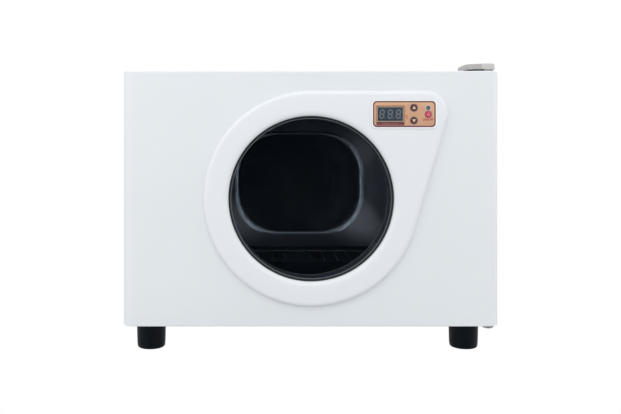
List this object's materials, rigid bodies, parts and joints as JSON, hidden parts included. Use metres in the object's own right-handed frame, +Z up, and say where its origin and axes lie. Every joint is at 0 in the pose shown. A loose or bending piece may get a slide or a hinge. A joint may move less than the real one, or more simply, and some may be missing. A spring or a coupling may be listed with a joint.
{
  "type": "hot towel cabinet",
  "caption": "Countertop hot towel cabinet with a right-hung door, round tinted window in a raised teardrop surround, control panel, heated cavity, tray and rubber feet.",
  "frame": {"origin": "on the floor under the centre of the closed cabinet's overall box", "axes": "+X to the viewer's right along the door's width, +Y from the door to the back, +Z up"},
  "size_m": [0.457, 0.306, 0.3645],
  "materials": {
    "white_enamel": "satin powder coat",
    "white_plastic": "satin moulded",
    "insulation_wool": "glass wool board",
    "gasket_rubber": "matt",
    "black_rubber": "matt",
    "tinted_glass": "tinted, polished",
    "clear_glass": "polished",
    "dark_plastic": "fine texture",
    "copper_film": "printed film",
    "display_face": "smoked lens",
    "led_lens": "diffused lens",
    "maroon_plastic": "moulded",
    "red_plastic": "moulded",
    "board_green": "solder mask",
    "aluminium": "satin",
    "silicone": "matt",
    "zinc_steel": "zinc plated",
    "chrome": "bright plated",
    "grey_plastic": "satin moulded"
  },
  "bodies": {
    "cabinet": {"outer_casing": "white_enamel", "front_frame": "white_enamel", "back_panel": "white_enamel", "base_pan": "white_enamel", "cavity_insulation": "insulation_wool", "foot_front_left": "black_rubber", "foot_front_right": "black_rubber", "foot_rear_left": "black_rubber", "foot_rear_right": "black_rubber", "body_harness": "dark_plastic", "power_inlet": "dark_plastic", "power_board": "board_green", "cavity_liner": "aluminium", "heater_mat": "silicone", "temperature_sensor": "zinc_steel", "thermal_cutout": "zinc_steel", "top_hinge_bracket": "zinc_steel", "bottom_hinge_bracket": "zinc_steel", "upper_hinge_pin": "zinc_steel", "lower_hinge_pin": "zinc_steel", "top_hinge_screw_1": "zinc_steel", "top_hinge_screw_2": "zinc_steel", "bottom_hinge_screw": "zinc_steel", "foot_screw_front_left": "zinc_steel", "foot_screw_front_right": "zinc_steel", "foot_screw_rear_left": "zinc_steel", "foot_screw_rear_right": "zinc_steel", "foot_washer_front_left": "zinc_steel", "foot_washer_rear_left": "zinc_steel", "foot_washer_rear_right": "zinc_steel", "top_hinge_cover": "grey_plastic"},
    "door": {"door_skin": "white_enamel", "door_top_cap": "white_plastic", "door_bottom_cap": "white_plastic", "door_liner": "white_plastic", "door_insulation": "insulation_wool", "door_gasket": "gasket_rubber", "finger_pull": "white_plastic", "window_surround": "white_plastic", "window_seal": "black_rubber", "outer_window_glass": "tinted_glass", "window_tunnel": "dark_plastic", "inner_window_glass": "clear_glass", "inner_window_ring": "white_plastic", "display_frame": "white_plastic", "control_overlay": "copper_film", "led_display": "display_face", "status_led": "led_lens", "control_board": "board_green", "door_harness": "dark_plastic", "upper_pivot_bush": "white_plastic", "lower_pivot_bush": "white_plastic"},
    "up_button": {"up_button": "maroon_plastic"},
    "down_button": {"down_button": "maroon_plastic"},
    "power_button": {"power_button": "red_plastic"},
    "tray": {"drip_tray": "aluminium", "towel_rack": "chrome"}
  },
  "joints": [
    {"name": "door_hinge", "type": "hinge", "parent": "cabinet", "child": "door", "pos_m": [0.219, -0.1266, 0.1975], "axis": [0, 0, 1], "range_deg": [0, 120]},
    {"name": "up_button_press", "type": "slide", "parent": "door", "child": "up_button", "axis": [0, 1, 0], "range_m": [0, 0.0005], "stiffness_N_per_m": 1000},
    {"name": "down_button_press", "type": "slide", "parent": "door", "child": "down_button", "axis": [0, 1, 0], "range_m": [0, 0.0005], "stiffness_N_per_m": 1000},
    {"name": "power_button_press", "type": "slide", "parent": "door", "child": "power_button", "axis": [0, 1, 0], "range_m": [0, 0.0005], "stiffness_N_per_m": 1000},
    {"name": "tray_slide", "type": "slide", "parent": "cabinet", "child": "tray", "axis": [0, -1, 0], "range_m": [0, 0.028]}
  ]
}
